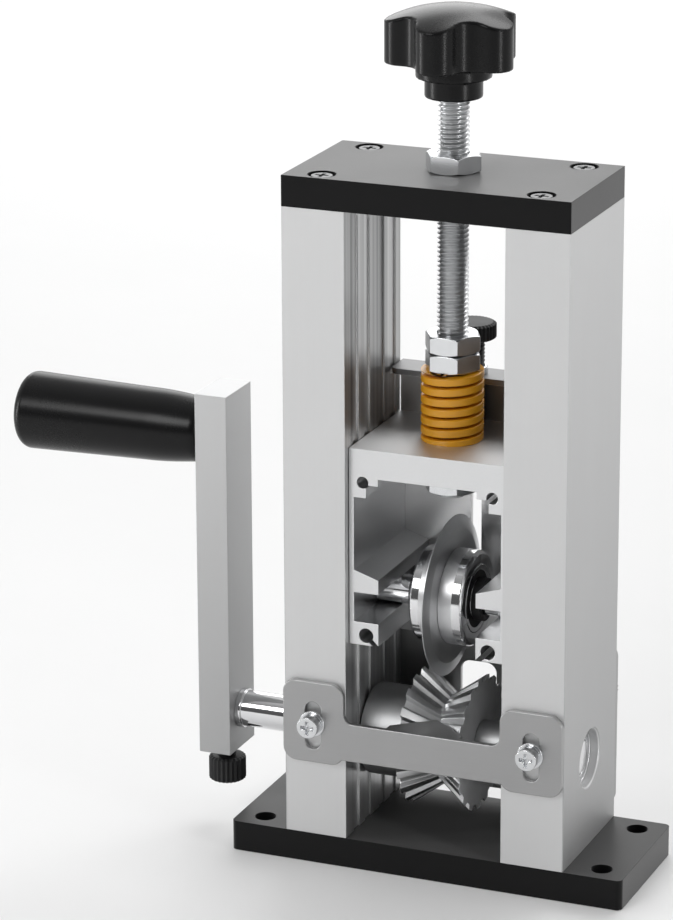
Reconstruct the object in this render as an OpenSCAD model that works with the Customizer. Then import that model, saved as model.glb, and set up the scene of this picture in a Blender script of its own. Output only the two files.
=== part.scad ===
// Hand crank wire stripper: two uprights between a base and a top plate carry a cranked, toothed V-groove
// feed wheel. A free-running blade disc rides in a sprung carriage that a star-knob screw raises and lowers.
// Frame: millimetres, +Z up, base underside at z = 0, guide plate with the notch on -Y, crank on -X.

/* [Main] */
// Which piece to show, or all of them
// Smoothness of the round faces, in sides a turn
round_sides = 64; // [32:8:128]

/* [Frame] */
// Base plate length from left to right
base_w = 134; // [120:1:180]
// Depth of base, uprights and top plate
frame_d = 50; // [49:1:60]
// Base plate thickness
base_t = 10; // [8:1:16]
// Corner radius of the base plate
base_corner = 2; // [1:0.5:4]
// Bench hole radius in the base
bench_hole_r = 3.5; // [2:0.25:4]
// Bench holes, distance from the ends of the base
bench_hole_in_x = 9; // [7:0.5:11]
// Bench holes, distance from the front and rear of the base
bench_hole_in_y = 7.4; // [6:0.2:13]
// Clear gap between the uprights
gap_w = 53; // [53:0.5:54]
// Upright width from left to right
upright_w = 21; // [21:0.5:22]
// Upright height
upright_h = 208; // [204:1:240]
// Top plate thickness
top_t = 10; // [8:1:14]
// Width of a shallow flute in the inner faces
flute_w = 4.8; // [3:0.2:6]
// Depth of a shallow flute
flute_depth = 0.6; // [0.3:0.1:1]
// First flute, distance from the middle of the depth
flute_y_near = 6.1; // [5:0.1:7]
// Second flute, distance from the middle of the depth
flute_y_far = 15.8; // [13:0.1:17]
// Depth of the rebate behind the gate plate edges
rebate_depth = 1; // [0.5:0.1:1.5]
// Clearance between that rebate and the front of the gate plate
rebate_gap = 0.1; // [0.05:0.05:0.5]

/* [Frame screws] */
// Radius of the sunk screws in the top plate
top_screw_r = 2; // [1.5:0.25:2.5]
// Head radius of those screws
top_screw_head_r = 3.4; // [3:0.1:4]
// Head height of those screws
top_screw_head_h = 3.6; // [2.5:0.1:4]
// Radius of the sinking round those heads
sinking_r = 4.5; // [4.2:0.1:5]
// Depth of the heads below the plate
sinking_drop = 0.3; // [0.1:0.1:1]
// Length of those screws
top_screw_len = 22; // [16:1:30]
// Top screws, distance from the inner faces of the uprights
top_screw_in_x = 9.5; // [7:0.5:12]
// Top screws, distance from the front and rear faces
top_screw_in_y = 5.5; // [5:0.5:10]
// Half length of a cross recess
cross_r = 2.2; // [1.6:0.1:2.4]
// Width of a cross recess
cross_w = 1.1; // [0.8:0.1:1.3]
// Depth of a cross recess
cross_depth = 1.6; // [1:0.1:2.2]
// Radius of the screws under the base
base_screw_r = 2.5; // [2:0.25:3]
// Head radius of those screws
base_screw_head_r = 5; // [4:0.25:5.5]
// Length of those screws
base_screw_len = 24; // [20:1:26]
// Base screws, distance from the front and rear faces
base_screw_in_y = 11; // [8:0.5:15]
// Radial clearance round every screw and bearing
fit_gap = 0.05; // [0.02:0.01:0.1]
// Radial clearance where a screw passes a moving piece
pass_gap = 0.3; // [0.25:0.05:0.5]
// Extra length of every cutting shape
cut_more = 1; // [0.5:0.5:2]

/* [Drive] */
// Height of the drive shaft above the bench
shaft_z = 39.6; // [39:0.2:42]
// Drive shaft radius
shaft_r = 6; // [5:0.25:6.2]
// Shaft end beyond the right bearing
shaft_end = 0.4; // [0.2:0.1:1]
// Shaft end at the outer face of the crank arm, from centre
shaft_left_x = 84.8; // [80:0.2:92]
// Small edge bevel of the shaft ends
shaft_bevel = 0.8; // [0.4:0.1:1.2]
// Bearing outer radius in the uprights
sb_outer_r = 9.5; // [9.2:0.1:10.5]
// Depth of the bearings below the outer faces of the uprights
bearing_inset = 3; // [1:0.25:8]
// Edge bevel of the bearing pockets
pocket_bevel = 0.6; // [0.3:0.1:1]
// Bearing width
sb_w = 5; // [4:0.5:6]
// Bearing race thickness
sb_race = 1; // [0.8:0.1:1.2]
// Seal thickness of the bearings
seal_t = 0.6; // [0.4:0.1:0.8]
// Gap between seals and rings
seal_gap = 0.2; // [0.1:0.05:0.25]
// Radius of the clearance hole behind the bearings
shoulder_hole_r = 8; // [7.8:0.1:8.4]
// Radius of the spacer sleeves inside the uprights
spacer_r = 7; // [6.8:0.1:7.2]
// Boss radius of the spacer on the crank side
boss_left_r = 15; // [8:0.5:16]
// Boss radius of the other spacer
boss_right_r = 7.6; // [7.4:0.1:9]
// Clearance between bosses and uprights
boss_gap = 0.3; // [0.2:0.05:0.6]
// Edge bevel of the bosses
boss_bevel = 0.5; // [0.3:0.1:1]
// Ball count of a shaft bearing
sb_balls = 14; // [8:1:16]

/* [Feed wheel] */
// Half width of the feed wheel
wheel_half_w = 10.5; // [10:0.5:12]
// Tooth crest radius at the rims
wheel_rim_r = 22.3; // [21.5:0.1:22.8]
// Tooth crest radius at the bottom of the V
wheel_valley_r = 14.5; // [13.5:0.1:15]
// Number of teeth
wheel_teeth = 19; // [15:1:24]
// Tooth depth at the rim
tooth_depth = 1.8; // [1:0.1:2.2]
// Share of the tooth pitch that is open at the crest
gap_share = 0.62; // [0.5:0.01:0.68]
// Share of the tooth pitch that is open at the root
root_share = 0.36; // [0.2:0.01:0.45]
// Tooth slant across half the wheel, in degrees
tooth_slant = 4.6; // [0:0.1:8]
// Where the first tooth stands, in degrees
tooth_start = 18; // [0:0.5:19]

/* [Crank] */
// Crank arm thickness
arm_t = 11; // [10:0.5:12]
// Crank arm width
arm_w = 20; // [18:0.5:24]
// Distance from the shaft axis to the grip axis
crank_reach = 94.4; // [86:0.2:96]
// Arm end beyond the shaft axis
arm_foot = 13.6; // [12:0.2:15]
// Arm end beyond the grip axis
arm_head = 15; // [12:0.5:30]
// Grip length
grip_len = 64.5; // [50:0.5:90]
// Gap between grip and arm
grip_gap = 0.6; // [0.3:0.1:1]
// Grip radius next to the arm
grip_near_r = 10.4; // [9:0.1:11]
// Grip radius where the neck ends
grip_mid_r = 11.9; // [11:0.1:12.4]
// Grip radius at its far end
grip_far_r = 12.8; // [12:0.1:14]
// Share of the grip length that is narrowed
grip_neck_share = 0.3; // [0.2:0.01:0.6]
// Rounding of the far end of the grip
grip_round = 3.5; // [2:0.25:5]
// Handle bolt radius
bolt_r = 4; // [3:0.25:4.5]
// Handle bolt head radius
bolt_head_r = 6.5; // [5.5:0.25:7]
// Handle bolt head thickness
bolt_head_t = 4; // [3:0.5:6]
// Radius of the hexagon socket in the bolt head
bolt_socket_r = 3.2; // [2.5:0.1:4]
// Depth of that socket
bolt_socket_depth = 2; // [1:0.5:3]
// Depth of the bolt head below the end of the grip
bolt_sunk = 3; // [1:0.5:5]
// Depth of the bolt thread in the arm
bolt_grip_in = 9; // [6:0.5:9]
// Running clearance of the grip on its bolt
grip_fit = 0.1; // [0.05:0.05:0.3]
// Clamp screw radius
clamp_r = 3; // [2:0.25:4]
// Clamp screw head radius
clamp_head_r = 6.15; // [5:0.05:8]
// Lower face of the clamp screw head below the arm
clamp_drop = 12.3; // [12:0.1:15]
// Clamp screw head height
clamp_head_h = 8.5; // [6:0.5:9]
// Shaft radius inside the arm
seat_r = 5; // [4:0.25:5.5]
// Radius of the shaft shoulder against the arm
collar_shaft_r = 6.5; // [6.3:0.1:7]
// Length of that shoulder
collar_shaft_len = 2; // [1:0.5:4]

/* [Pressure screw] */
// Threaded rod radius
rod_r = 5; // [4:0.25:5.2]
// Rod end below the retaining nut
rod_below_nut = 1.8; // [0.5:0.1:3]
// Rod end above the lower face of the knob lobes
rod_in_lobes = 6.2; // [3:0.2:8]
// Width across flats of the large nuts
nut_flats = 16; // [15:0.5:17]
// Height of a large nut
nut_h = 5.9; // [5:0.1:8]
// Corner bevel of a large nut
nut_bevel = 1.4; // [0.5:0.1:1.6]
// Height of the room for the spring, between carriage and nuts
spring_room = 22.8; // [22:0.1:24]
// Seam between the two nuts over the spring
nut_seam = 0.1; // [0.05:0.05:0.3]
// Thickness of the retaining washer
washer_t = 1.6; // [1:0.1:2]
// Radius of the retaining washer
washer_r = 10; // [9:0.25:11]
// Star knob outer radius
knob_r = 21.5; // [19:0.1:24]
// Radius of a lobe seen from above
lobe_r = 6.4; // [5.5:0.1:7]
// Distance of the floor of the hollows from the axis
hollow_floor_r = 15.3; // [14.5:0.1:16]
// Number of lobes
lobes = 5; // [4:1:6]
// Lower face of the lobes above the top plate
knob_rise = 33.8; // [33:0.2:50]
// Height of the lobes at the rim
knob_rim_h = 13.4; // [11:0.2:16]
// Rise of the domed top
knob_dome_h = 4.8; // [3:0.2:6]
// Star knob collar radius
knob_collar_r = 11.9; // [11:0.1:12.5]
// Star knob collar height
knob_collar_h = 4.2; // [3:0.1:5]
// Star knob hub radius
knob_hub_r = 9.1; // [8:0.1:10]
// Star knob hub height
knob_hub_h = 6.3; // [4:0.1:8]

/* [Die spring] */
// Outer radius of the spring
spring_r = 10; // [9:0.1:10.5]
// Radial width of the spring wire
wire_w = 3.4; // [2.5:0.1:3.6]
// Height of the spring wire
wire_h = 2.5; // [2:0.1:2.6]
// Whole number of curls
spring_turns = 6; // [5:1:6]
// Rings drawn for a curl
spring_rings = 16; // [12:4:32]
// Share of the wire height that its outer face keeps, on each side of the middle
wire_share = 0.4; // [0.3:0.01:0.45]
// Gap between spring ends and the faces they press on
spring_end_gap = 0.05; // [0.02:0.01:0.2]

/* [Carriage] */
// Clearance between carriage and each upright
slide_gap = 0.15; // [0.1:0.05:0.3]
// Carriage ends behind the front and rear faces of the uprights
carriage_inset = 3; // [2.5:0.25:5]
// Lower face of the carriage
carriage_z = 76; // [74:0.2:76]
// Carriage height
carriage_h = 65.3; // [65:0.1:66]
// Thickness of the top web
web_t = 9.5; // [8:0.1:10]
// Thickness of the side walls
wall_t = 1.65; // [1.4:0.05:2]
// Half distance between the ledge tips
ledge_tip_x = 16.4; // [16:0.1:17]
// Height of the slots for the axle
slot_h = 9.8; // [9.8:0.1:10.2]
// Thickness of the upper ledge at its tip
ledge_tip_t = 4.9; // [4:0.1:6]
// Extra thickness of the upper ledge at the wall
ledge_slope = 2.6; // [1:0.1:4]
// Height of the corner blocks under the web
corner_h = 6.6; // [5:0.1:7]
// Half distance between the corner blocks
corner_x = 20.5; // [20:0.1:21]
// Radius of the upper screw ports
port_r = 1.9; // [1.5:0.1:2]
// Radius of the lower screw ports
port_low_r = 2.4; // [1.8:0.1:2.5]
// Width of the lips between the upper ports and the web
lip_w = 4; // [2:0.1:5]
// Height of those lips
lip_h = 2.3; // [1.8:0.1:2.4]
// Upper ports, distance from centre
port_top_x = 21.7; // [21.5:0.1:22.5]
// Upper ports, drop below the web
port_top_drop = 1.5; // [1:0.1:2.5]
// Lower ports, distance from centre
port_low_x = 20.6; // [20:0.1:21.5]
// Lower ports, rise above the lower face
port_low_rise = 3.3; // [2.8:0.1:3.8]
// Width of the mouth of a lower port
mouth_w = 1.5; // [1:0.1:2]
// Length of the mouth of a lower port, from its middle
mouth_len = 6; // [5:0.5:7]
// Direction of the mouths, in degrees from the right
mouth_turn = -135; // [-145:1:-125]
// Width of the mouth of an upper port
mouth_top_w = 1; // [0.6:0.1:1.4]
// Length of the mouth of an upper port, from its middle
mouth_top_len = 4; // [3:0.5:6]

/* [Blade] */
// Blade axle above the lower face of the carriage
axle_rise = 12.6; // [12.4:0.1:12.8]
// Blade axle radius
axle_r = 4.85; // [4.5:0.05:4.85]
// Half length of the blade axle
axle_half = 24.5; // [20:0.1:24.6]
// Blade radius
blade_r = 26.1; // [25:0.1:27.3]
// Blade thickness
blade_t = 2; // [1.5:0.1:2.4]
// Width of the ground bevel
bevel_w = 4.2; // [3:0.1:8]
// Thickness of the cutting edge
edge_t = 0.2; // [0.1:0.05:0.4]
// Hub and clamp ring radius
hub_r = 15.5; // [14.5:0.1:15.8]
// Half width over hub and clamp ring
hub_half = 9.1; // [8.2:0.1:9.4]
// Radius of the hub spigot that centres the blade
spigot_r = 12.5; // [12:0.1:13]
// Radius of the clearance hole through the hub
hub_bore_r = 8.5; // [8:0.1:9]
// Edge bevel of hub and clamp ring
hub_bevel = 0.9; // [0.3:0.1:1.2]
// Blade bearing outer radius
bb_outer_r = 11; // [10.5:0.25:11.5]
// Blade bearing width
bb_w = 6; // [5:0.5:6]
// Blade bearing race thickness
bb_race = 1.7; // [1.2:0.1:1.8]
// Ball count of a blade bearing
bb_balls = 8; // [6:1:9]
// Radius of the black sleeves
sleeve_r = 7; // [6.5:0.1:7.4]
// Outer end of the black sleeves, from centre
sleeve_end_x = 12.2; // [11:0.1:16]

/* [Guides] */
// Sheet thickness of the guide plates and the gate
sheet_t = 2; // [1.5:0.1:2]
// Lower edge of the front guide lobes
front_low_z = 35.5; // [34:0.1:37]
// Upper edge of the front guide
front_top_z = 63; // [61:0.5:66]
// Lower edge of the bar between the lobes
front_bar_z = 37.5; // [37:0.1:39]
// Bottom of the U-notch
notch_z = 50.3; // [49:0.1:51]
// Corner radius of the front guide
front_corner = 4.5; // [3:0.5:5]
// Corner radius in the U-notch
notch_corner = 3; // [1:0.5:4]
// Guide slots, distance from the inner faces of the uprights
front_slot_in = 10.6; // [9:0.1:12]
// Guide slot width
front_slot_w = 5.3; // [5:0.1:6]
// Lower end of the guide slots
front_slot_low = 40.1; // [39:0.1:41]
// Upper end of the guide slots
front_slot_high = 56.1; // [55:0.1:58]
// Height of the guide screws
guide_screw_z = 49; // [48.5:0.1:49.5]
// Guide screw radius
guide_screw_r = 2; // [1.5:0.1:2.2]
// Guide screw head radius
guide_head_r = 3.5; // [3:0.1:4]
// Guide screw head height
guide_head_h = 4; // [3:0.5:5]
// Length of the guide screws under the head
guide_screw_len = 14; // [10:1:16]
// Guide washer radius
guide_washer_r = 4.3; // [4:0.1:5]
// Guide washer thickness
guide_washer_t = 1; // [0.6:0.1:1.2]
// Half width of the bent tongue at the notch
tongue_x = 12.5; // [11:0.5:13]
// Reach of the tongue at its sides, behind the front guide
tongue_side = 2.7; // [1:0.1:2.7]
// Reach of the tongue at its point, behind the front guide
tongue_reach = 12.8; // [10:0.1:13]
// Lower edge of the rear guide
rear_low_z = 13.5; // [13.5:0.5:16]
// Upper edge of the rear guide
rear_top_z = 69.4; // [64:0.2:69.4]
// Middle height of the cable inlet
inlet_z = 49.9; // [45:0.1:52]
// Width of the cable inlet
inlet_w = 12.4; // [8:0.2:16]
// Height of the cable inlet
inlet_h = 14.4; // [10:0.2:18]
// Corner radius of the cable inlet
inlet_corner = 3.5; // [2:0.1:4]
// Rear slots, distance from the inner faces of the uprights
rear_slot_in = 10.8; // [9:0.1:12]
// Rear slot length
rear_slot_len = 18; // [14:0.5:20]
// Rear slot width
rear_slot_w = 6.6; // [6.4:0.1:7]
// Height of the rear thumb screws
rear_screw_z = 50; // [46:0.5:54]
// Rear thumb screw radius
thumb_r = 3; // [2.5:0.25:3.1]
// Rear thumb screw head radius
thumb_head_r = 7; // [6:0.25:9]
// Rear thumb screw head height
thumb_head_h = 6.2; // [4:0.2:8]
// Collar radius of the knurled screws
collar_r = 5; // [4:0.1:5.5]
// Collar height of the rear thumb screws
collar_h = 4.4; // [2:0.2:5]
// Rear thumb screw length in the upright
thumb_in = 11; // [8:1:12]

/* [Gate] */
// Half width of the gate plate
gate_half = 26.3; // [24:0.1:26.35]
// Lower edge of the gate plate below the carriage
gate_drop = 10; // [6:0.5:11]
// Upper face of the gate flange above the carriage
gate_rise = 16.7; // [15:0.1:20]
// Reach of the gate flange, in front of the gate plate
flange_reach = 9.6; // [9.4:0.1:10]
// Corner radius of the gate flange
flange_corner = 3; // [1:0.5:5]
// Half width of the blade slot in the gate
gate_slot_x = 1.75; // [1.6:0.05:2]
// Upper end of the blade slot above the blade axle
gate_slot_rise = 29.4; // [28:0.1:34]
// Gate screw, distance in front of the gate plate
gate_screw_reach = 4.4; // [4:0.1:4.5]
// Gate screw radius
gate_screw_r = 4; // [3:0.25:4]
// Gate screw head radius
gate_head_r = 7.7; // [6:0.1:8]
// Upper face of the gate screw head above the flange
gate_head_rise = 16.9; // [14:0.1:20]
// Gate screw head height
gate_head_h = 5.5; // [4:0.5:7]
// Gate nut radius
gate_nut_r = 5; // [4.8:0.1:5.2]
// Gate nut height
gate_nut_h = 2.5; // [2:0.1:4]

/* [Hidden] */
$fn = round_sides;
steel = [0.72, 0.73, 0.74];
silver = [0.8, 0.81, 0.82];
black = [0.1, 0.1, 0.11];
amber = [0.9, 0.55, 0.1];
half_gap = gap_w / 2;
half_d = frame_d / 2;
outer_x = half_gap + upright_w;
upright_x = half_gap + upright_w / 2;
deck_z = base_t + upright_h;
top_z = deck_z + top_t;
sinking_z = top_z - sinking_drop - top_screw_head_h;
bench_hole_x = base_w / 2 - bench_hole_in_x;
bench_hole_y = half_d - bench_hole_in_y;
top_screw_x = half_gap + top_screw_in_x;
top_screw_y = half_d - top_screw_in_y;
base_screw_x = upright_x;
base_screw_y = half_d - base_screw_in_y;
sb_in_x = outer_x - bearing_inset - sb_w;
shaft_right_x = sb_in_x + sb_w + shaft_end;
arm_in_x = shaft_left_x - arm_t;
grip_z = shaft_z + crank_reach;
arm_bottom_z = shaft_z - arm_foot;
arm_top_z = grip_z + arm_head;
clamp_head_z = arm_bottom_z - clamp_drop;
carriage_w = gap_w - 2 * slide_gap;
carriage_d = frame_d - 2 * carriage_inset;
axle_z = carriage_z + axle_rise;
carriage_top = carriage_z + carriage_h;
web_low = carriage_top - web_t;
slot_low = axle_z - slot_h / 2;
slot_high = axle_z + slot_h / 2;
nuts_low = carriage_top + spring_room;
rod_bottom_z = web_low - washer_t - nut_h - rod_below_nut;
knob_z = top_z + knob_rise;
rod_top_z = knob_z + rod_in_lobes;
spring_low = carriage_top + spring_end_gap;
spring_high = nuts_low - spring_end_gap;
nut_corner = nut_flats / 2 / cos(30);
bb_in_x = hub_half - bb_w;
front_y = half_d + sheet_t;
front_slot_x = half_gap + front_slot_in;
rear_slot_x = half_gap + rear_slot_in;
tongue_side_y = half_d - tongue_side;
tongue_tip_y = half_d - tongue_reach;
gate_y = carriage_d / 2;
rebate_y = gate_y - rebate_gap;
gate_low_z = carriage_z - gate_drop;
gate_top_z = carriage_top + gate_rise;
flange_y = gate_y - flange_reach;
gate_slot_top = axle_z + gate_slot_rise;
gate_screw_y = gate_y - gate_screw_reach;
gate_head_top = gate_top_z + gate_head_rise;
dome_r = (knob_r * knob_r + knob_dome_h * knob_dome_h) / (2 * knob_dome_h);

// Flat plate outline with round corners, centred
module round_plate(w, d, r) {
    square([w - 2 * r, d], center = true);
    square([w, d - 2 * r], center = true);
    for (x = [-1, 1], y = [-1, 1]) translate([x * (w / 2 - r), y * (d / 2 - r)]) circle(r = r);
}

// Upright slot outline with round ends, from low to high
module slot_shape(w, low, high) {
    translate([-w / 2, low + w / 2]) square([w, high - low - w]);
    for (z = [low + w / 2, high - w / 2]) translate([0, z]) circle(r = w / 2);
}

// Flush screw with its head at z = 0 and its shank going down
module flush_screw(r, head_r, len) {
    translate([0, 0, -len]) cylinder(h = len, r = r);
    translate([0, 0, r - head_r]) cylinder(h = head_r - r, r1 = r, r2 = head_r);
}

// Screw with a round head that stands on z = 0 and a cross recess, its shank going down
module round_screw(r, head_r, head_h, len) {
    difference() {
        union() {
            translate([0, 0, -len]) cylinder(h = len + fit_gap, r = r);
            cylinder(h = head_h, r = head_r);
        }
        translate([0, 0, head_h]) cross_recess();
    }
}

// Cutter of a cross recess, open at z = 0
module cross_recess() {
    for (turn = [0, 90]) rotate(turn) translate([-cross_r, -cross_w / 2, -cross_depth])
        cube([2 * cross_r, cross_w, cross_depth + cut_more]);
}

// Hexagon nut standing on z = 0, corners on X
module hex_nut(corner, h, bore, bevel) {
    difference() {
        intersection() {
            cylinder(h = h, r = corner, $fn = 6);
            union() {
                cylinder(h = bevel / 2, r1 = corner - bevel, r2 = corner);
                translate([0, 0, bevel / 2]) cylinder(h = h - bevel, r = corner);
                translate([0, 0, h - bevel / 2]) cylinder(h = bevel / 2, r1 = corner, r2 = corner - bevel);
            }
        }
        translate([0, 0, -cut_more]) cylinder(h = h + 2 * cut_more, r = bore);
    }
}

// Ring lying on the X axis from x = from to x = to
module ring_x(from, to, outer, inner) {
    translate([from, 0, 0]) rotate([0, 90, 0]) difference() {
        cylinder(h = to - from, r = outer);
        translate([0, 0, -cut_more]) cylinder(h = to - from + 2 * cut_more, r = inner);
    }
}

// Bar lying on the X axis from x = from to x = to
module bar_x(from, to, r) {
    translate([from, 0, 0]) rotate([0, 90, 0]) cylinder(h = to - from, r = r);
}

// Places a copy on each side of the middle plane
module both_sides() {
    children();
    mirror([1, 0, 0]) children();
}

// Outline of the base seen from above, with its bench holes and sunk screw holes
module base_plate() {
    color(black) difference() {
        linear_extrude(base_t) round_plate(base_w, frame_d, base_corner);
        for (x = [-1, 1], y = [-1, 1]) {
            translate([x * bench_hole_x, y * bench_hole_y, -cut_more])
                cylinder(h = base_t + 2 * cut_more, r = bench_hole_r);
            translate([x * base_screw_x, y * base_screw_y, 0]) mirror([0, 0, 1])
                flush_screw(base_screw_r + fit_gap, base_screw_head_r + fit_gap, base_t + cut_more);
        }
    }
}

// Four flush screws driven up through the base into the uprights
module base_screws() {
    color(steel) for (x = [-1, 1], y = [-1, 1])
        translate([x * base_screw_x, y * base_screw_y, 0]) mirror([0, 0, 1]) difference() {
            flush_screw(base_screw_r, base_screw_head_r, base_screw_len);
            cross_recess();
        }
}

// Upright on the right-hand side: flutes inside, stepped bearing bore, tapped screw holes
module upright_right() {
    difference() {
        translate([half_gap, -half_d, base_t]) cube([upright_w, frame_d, upright_h]);
        for (y = [-flute_y_far, -flute_y_near, flute_y_near, flute_y_far])
            translate([half_gap - cut_more, y - flute_w / 2, base_t - cut_more])
                cube([flute_depth + cut_more, flute_w, upright_h + 2 * cut_more]);
        translate([half_gap - cut_more, rebate_y, base_t - cut_more])
            cube([rebate_depth + cut_more, half_d - rebate_y + cut_more, upright_h + 2 * cut_more]);
        translate([0, 0, shaft_z]) {
            bar_x(sb_in_x, outer_x + cut_more, sb_outer_r + fit_gap);
            bar_x(half_gap - cut_more, outer_x, shoulder_hole_r);
            translate([outer_x - pocket_bevel, 0, 0]) rotate([0, 90, 0])
                cylinder(h = pocket_bevel + cut_more, r1 = sb_outer_r + fit_gap,
                    r2 = sb_outer_r + fit_gap + pocket_bevel + cut_more);
        }
        for (y = [-1, 1]) {
            translate([base_screw_x, y * base_screw_y, 0])
                cylinder(h = base_screw_len + cut_more, r = base_screw_r + fit_gap);
            translate([top_screw_x, y * top_screw_y, sinking_z - top_screw_len - cut_more])
                cylinder(h = top_screw_len, r = top_screw_r + fit_gap);
        }
        translate([front_slot_x, -half_d + guide_screw_len, guide_screw_z]) rotate([90, 0, 0])
            cylinder(h = guide_screw_len + cut_more, r = guide_screw_r + fit_gap);
        translate([rear_slot_x, half_d - thumb_in - cut_more, rear_screw_z]) rotate([-90, 0, 0])
            cylinder(h = thumb_in + 2 * cut_more, r = thumb_r + fit_gap);
    }
}

module right_upright() {
    color(silver) upright_right();
}

module left_upright() {
    color(silver) mirror([1, 0, 0]) upright_right();
}

// Top plate with the tapped hole of the pressure screw and four sunk screw holes
module top_plate() {
    color(black) difference() {
        translate([-outer_x, -half_d, deck_z]) cube([2 * outer_x, frame_d, top_t]);
        translate([0, 0, deck_z - cut_more]) cylinder(h = top_t + 2 * cut_more, r = rod_r + fit_gap);
        for (x = [-1, 1], y = [-1, 1]) translate([x * top_screw_x, y * top_screw_y, 0]) {
            translate([0, 0, deck_z - cut_more])
                cylinder(h = top_t + 2 * cut_more, r = top_screw_r + fit_gap);
            translate([0, 0, sinking_z]) cylinder(h = top_z - sinking_z + cut_more, r = sinking_r);
        }
    }
}

// Four round-head screws in the sinkings of the top plate
module top_screws() {
    color(steel) for (x = [-1, 1], y = [-1, 1]) translate([x * top_screw_x, y * top_screw_y, sinking_z])
        round_screw(top_screw_r, top_screw_head_r, top_screw_head_h, top_screw_len);
}

// Outer rings of the two shaft bearings
module shaft_bearing_outer() {
    color(steel) translate([0, 0, shaft_z]) both_sides()
        ring_x(sb_in_x, sb_in_x + sb_w, sb_outer_r, sb_outer_r - sb_race);
}

// Steel shields that seal both ends of the two shaft bearings
module shaft_bearing_seals() {
    color(steel) translate([0, 0, shaft_z]) both_sides()
        for (x = [sb_in_x + seal_gap, sb_in_x + sb_w - seal_gap - seal_t])
            ring_x(x, x + seal_t, sb_outer_r - sb_race, shaft_r + fit_gap + sb_race + seal_gap);
}

// Inner rings of the two shaft bearings
module shaft_bearing_inner() {
    color(steel) translate([0, 0, shaft_z]) both_sides()
        ring_x(sb_in_x, sb_in_x + sb_w, shaft_r + fit_gap + sb_race, shaft_r + fit_gap);
}

// Ring of balls round the X axis between two races
module ball_ring(x, inner, outer, count) {
    for (i = [0:count - 1]) rotate([360 * i / count, 0, 0])
        translate([x, 0, (inner + outer) / 2]) sphere(r = (outer - inner) / 2 - 2 * fit_gap, $fn = 16);
}

module shaft_bearing_balls() {
    color(steel) translate([0, 0, shaft_z]) both_sides()
        ball_ring(sb_in_x + sb_w / 2, shaft_r + fit_gap + sb_race, sb_outer_r - sb_race, sb_balls);
}

// Two round-head screws that hold the front guide, heads to the front
module guide_screws() {
    color(steel) both_sides() translate([front_slot_x, -front_y - guide_washer_t, guide_screw_z])
        rotate([90, 0, 0]) round_screw(guide_screw_r, guide_head_r, guide_head_h, guide_screw_len);
}

// Washers under those screws
module guide_washers() {
    color(steel) both_sides() translate([front_slot_x, -front_y, guide_screw_z])
        rotate([90, 0, 0]) difference() {
            cylinder(h = guide_washer_t, r = guide_washer_r);
            translate([0, 0, -cut_more])
                cylinder(h = guide_washer_t + 2 * cut_more, r = guide_screw_r + fit_gap);
        }
}

// Drive shaft with a shoulder at the arm and a thinner seat inside it
module drive_shaft() {
    color(steel) translate([0, 0, shaft_z]) {
        bar_x(-arm_in_x, shaft_right_x - shaft_bevel, shaft_r);
        translate([shaft_right_x - shaft_bevel, 0, 0]) rotate([0, 90, 0])
            cylinder(h = shaft_bevel, r1 = shaft_r, r2 = shaft_r - shaft_bevel);
        bar_x(-arm_in_x, collar_shaft_len - arm_in_x, collar_shaft_r);
        bar_x(-shaft_left_x, -arm_in_x, seat_r);
    }
}

// Toothed outline of the wheel at its rim, first crest on +X
module tooth_outline() {
    pitch = 360 / wheel_teeth;
    root_r = wheel_rim_r - tooth_depth;
    open_half = wheel_rim_r * sin(pitch * gap_share / 2);
    root_half = root_r * sin(pitch * root_share / 2);
    difference() {
        circle(r = wheel_rim_r, $fn = 8 * wheel_teeth);
        for (i = [0:wheel_teeth - 1]) rotate(pitch * (i + 0.5)) polygon([[root_r, -root_half],
            [wheel_rim_r, -open_half], [wheel_rim_r + cut_more, -open_half],
            [wheel_rim_r + cut_more, open_half], [wheel_rim_r, open_half], [root_r, root_half]]);
    }
}

// One half of the wheel from its rim at z = 0 to the bottom of the V
module wheel_half() {
    difference() {
        linear_extrude(height = wheel_half_w, twist = -tooth_slant, slices = 6,
            scale = wheel_valley_r / wheel_rim_r) tooth_outline();
        translate([0, 0, -cut_more]) cylinder(h = wheel_half_w + 2 * cut_more, r = shaft_r + fit_gap);
    }
}

module wheel_left() {
    color(steel) translate([-wheel_half_w, 0, shaft_z]) rotate([tooth_start - tooth_slant, 0, 0])
        rotate([0, 90, 0]) rotate(180) wheel_half();
}

module wheel_right() {
    color(steel) translate([wheel_half_w, 0, shaft_z]) rotate([tooth_start + tooth_slant, 0, 0])
        rotate([0, -90, 0]) wheel_half();
}

// Spacer of the given boss radius between the wheel and the right-hand bearing
module spacer(boss_r) {
    boss_end = half_gap - boss_gap;
    bevel = min(boss_bevel, (boss_r - spacer_r) / 2);
    rotate([0, 90, 0]) rotate_extrude() polygon([[shaft_r + fit_gap, wheel_half_w],
        [boss_r - bevel, wheel_half_w], [boss_r, wheel_half_w + bevel],
        [boss_r, boss_end - bevel], [boss_r - bevel, boss_end], [spacer_r, boss_end],
        [spacer_r, sb_in_x], [shaft_r + fit_gap, sb_in_x]]);
}

// Bossed spacers that keep the wheel in the middle
module wheel_spacers() {
    color(silver) translate([0, 0, shaft_z]) {
        spacer(boss_right_r);
        mirror([1, 0, 0]) spacer(boss_left_r);
    }
}

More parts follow.
